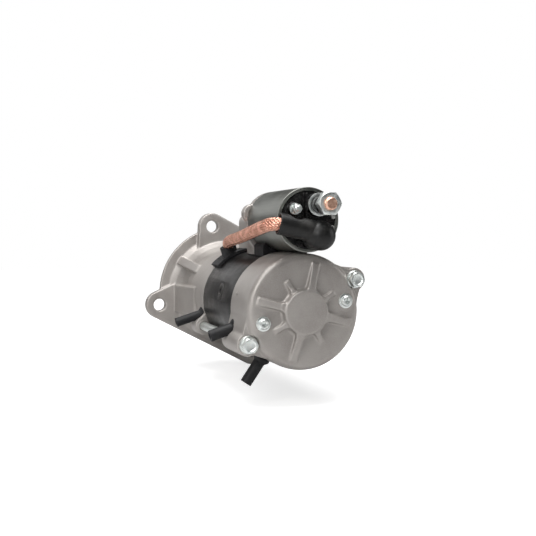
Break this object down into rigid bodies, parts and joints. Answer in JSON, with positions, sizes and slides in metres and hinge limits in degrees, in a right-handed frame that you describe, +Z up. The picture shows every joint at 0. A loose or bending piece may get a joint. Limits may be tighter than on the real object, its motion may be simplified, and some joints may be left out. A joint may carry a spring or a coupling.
{
  "type": "starter motor",
  "caption": "Coaxial planetary starter motor: cast flange bracket with pinion, black yoke, ribbed rear cover, and a solenoid with braided lead, boot and stud terminals on top.",
  "frame": {"origin": "centre of the pilot spigot on the mounting face of the flange", "axes": "+Y along the shaft from the rear cover to the pinion, +Z up to the solenoid, +X right as seen from the rear cover"},
  "size_m": [0.153, 0.3212, 0.1776],
  "materials": {
    "cast_aluminium": "as cast, lightly blasted",
    "black_paint": "semi-gloss black",
    "zinc_case": "bright zinc plating",
    "zinc_steel": "zinc plated",
    "dark_steel": "blackened",
    "laminated_steel": "laminated",
    "gear_steel": "ground and hardened",
    "bearing_steel": "polished",
    "plate_steel": "pressed",
    "spring_steel": "drawn wire",
    "copper": "bare",
    "enamelled_copper": "enamelled and varnished",
    "bronze": "sintered",
    "carbon": "pressed copper-carbon",
    "black_moulding": "glass-filled phenolic",
    "pale_moulding": "moulded",
    "black_rubber": "matt"
  },
  "bodies": {
    "housing": {"battery_terminal": "copper", "brush_holder_screws": "zinc_steel", "brush_plate": "pale_moulding", "brush_springs": "spring_steel", "brushes": "carbon", "cap_tabs": "bronze", "centre_plate": "plate_steel", "contact_spring": "spring_steel", "drain_tubes": "black_rubber", "field_coils": "enamelled_copper", "front_bearing_outer": "bearing_steel", "front_bracket": "cast_aluminium", "front_seal": "black_rubber", "gear_support_plate": "plate_steel", "lead_grommet": "black_rubber", "lead_lug": "copper", "lever_pin": "dark_steel", "lever_seal": "black_rubber", "motor_lead": "copper", "motor_terminal": "copper", "plain_bushes": "bronze", "pole_screws": "dark_steel", "pole_shoes": "dark_steel", "rear_bearing_outer": "bearing_steel", "rear_cover": "cast_aluminium", "return_spring": "spring_steel", "ring_gear": "gear_steel", "solenoid_bobbin": "pale_moulding", "solenoid_cap": "black_moulding", "solenoid_case": "zinc_case", "solenoid_core": "dark_steel", "solenoid_screws": "zinc_steel", "solenoid_winding": "enamelled_copper", "switch_terminal": "zinc_steel", "terminal_boot": "black_rubber", "terminal_nuts": "zinc_steel", "terminal_washers": "zinc_steel", "through_bolts": "zinc_steel", "yoke": "black_paint"},
    "armature": {"armature_shaft": "gear_steel", "armature_core": "laminated_steel", "armature_windings": "enamelled_copper", "commutator": "copper", "rear_bearing_inner": "bearing_steel"},
    "rear_ball_set": {"rear_bearing_balls": "bearing_steel"},
    "output": {"output_shaft": "gear_steel", "planet_pins": "gear_steel"},
    "planet_1": {"planet_gear_1": "gear_steel"},
    "planet_2": {"planet_gear_2": "gear_steel"},
    "planet_3": {"planet_gear_3": "gear_steel"},
    "front_inner_ring": {"front_bearing_inner": "bearing_steel"},
    "front_ball_set": {"front_bearing_balls": "bearing_steel"},
    "drive": {"clutch_housing": "gear_steel", "clutch_rollers": "gear_steel", "clutch_cover": "gear_steel", "lever_collar": "plate_steel"},
    "pinion_body": {"pinion": "gear_steel"},
    "plunger_body": {"plunger": "gear_steel"},
    "lever": {"shift_lever": "pale_moulding"},
    "contact": {"contact_disc": "copper"}
  },
  "joints": [
    {"name": "armature_spin", "type": "hinge", "parent": "housing", "child": "armature", "pos_m": [0, -0.17, 0], "axis": [0, 1, 0], "continuous": true},
    {"name": "rear_ball_spin", "type": "hinge", "parent": "housing", "child": "rear_ball_set", "pos_m": [0, -0.2535, 0], "axis": [0, 1, 0], "continuous": true},
    {"name": "output_spin", "type": "hinge", "parent": "housing", "child": "output", "pos_m": [0, -0.09, 0], "axis": [0, 1, 0], "continuous": true},
    {"name": "planet_1_spin", "type": "hinge", "parent": "output", "child": "planet_1", "pos_m": [0, -0.116, 0.0225], "axis": [0, 1, 0], "continuous": true},
    {"name": "planet_2_spin", "type": "hinge", "parent": "output", "child": "planet_2", "pos_m": [-0.01949, -0.116, -0.01125], "axis": [0, 1, 0], "continuous": true},
    {"name": "planet_3_spin", "type": "hinge", "parent": "output", "child": "planet_3", "pos_m": [0.01949, -0.116, -0.01125], "axis": [0, 1, 0], "continuous": true},
    {"name": "front_inner_spin", "type": "hinge", "parent": "housing", "child": "front_inner_ring", "pos_m": [0, -0.018, 0], "axis": [0, 1, 0], "continuous": true},
    {"name": "front_ball_spin", "type": "hinge", "parent": "housing", "child": "front_ball_set", "pos_m": [0, -0.018, 0], "axis": [0, 1, 0], "continuous": true},
    {"name": "plunger_slide", "type": "slide", "parent": "housing", "child": "plunger_body", "axis": [0, -1, 0], "range_m": [0, 0.01032], "stiffness_N_per_m": 1500, "springref_m": -0.012, "deforming": ["return_spring"]},
    {"name": "lever_swing", "type": "hinge", "parent": "housing", "child": "lever", "pos_m": [0.002, -0.092, 0.04], "axis": [1, 0, 0], "range_deg": [0, 18.05]},
    {"name": "drive_slide", "type": "slide", "parent": "output", "child": "drive", "axis": [0, 1, 0], "range_m": [0, 0.01239]},
    {"name": "pinion_overrun", "type": "hinge", "parent": "drive", "child": "pinion_body", "pos_m": [0, -0.057, 0], "axis": [0, 1, 0], "continuous": true},
    {"name": "contact_slide", "type": "slide", "parent": "housing", "child": "contact", "axis": [0, -1, 0], "range_m": [0, 0.00261], "deforming": ["contact_spring"]}
  ],
  "couplings": [
    {"joint": "rear_ball_spin", "follows": "armature_spin", "ratio": 0.385},
    {"joint": "output_spin", "follows": "armature_spin", "ratio": 0.2},
    {"joint": "planet_1_spin", "follows": "armature_spin", "ratio": -0.53333},
    {"joint": "planet_2_spin", "follows": "armature_spin", "ratio": -0.53333},
    {"joint": "planet_3_spin", "follows": "armature_spin", "ratio": -0.53333},
    {"joint": "front_inner_spin", "follows": "armature_spin", "ratio": 0.2},
    {"joint": "front_ball_spin", "follows": "armature_spin", "ratio": 0.0796},
    {"joint": "lever_swing", "follows": "plunger_slide", "rad_per_m": 30.438},
    {"joint": "drive_slide", "follows": "plunger_slide", "ratio": 1.1976},
    {"joint": "contact_slide", "follows": "plunger_slide", "ratio": 0.25191}
  ]
}
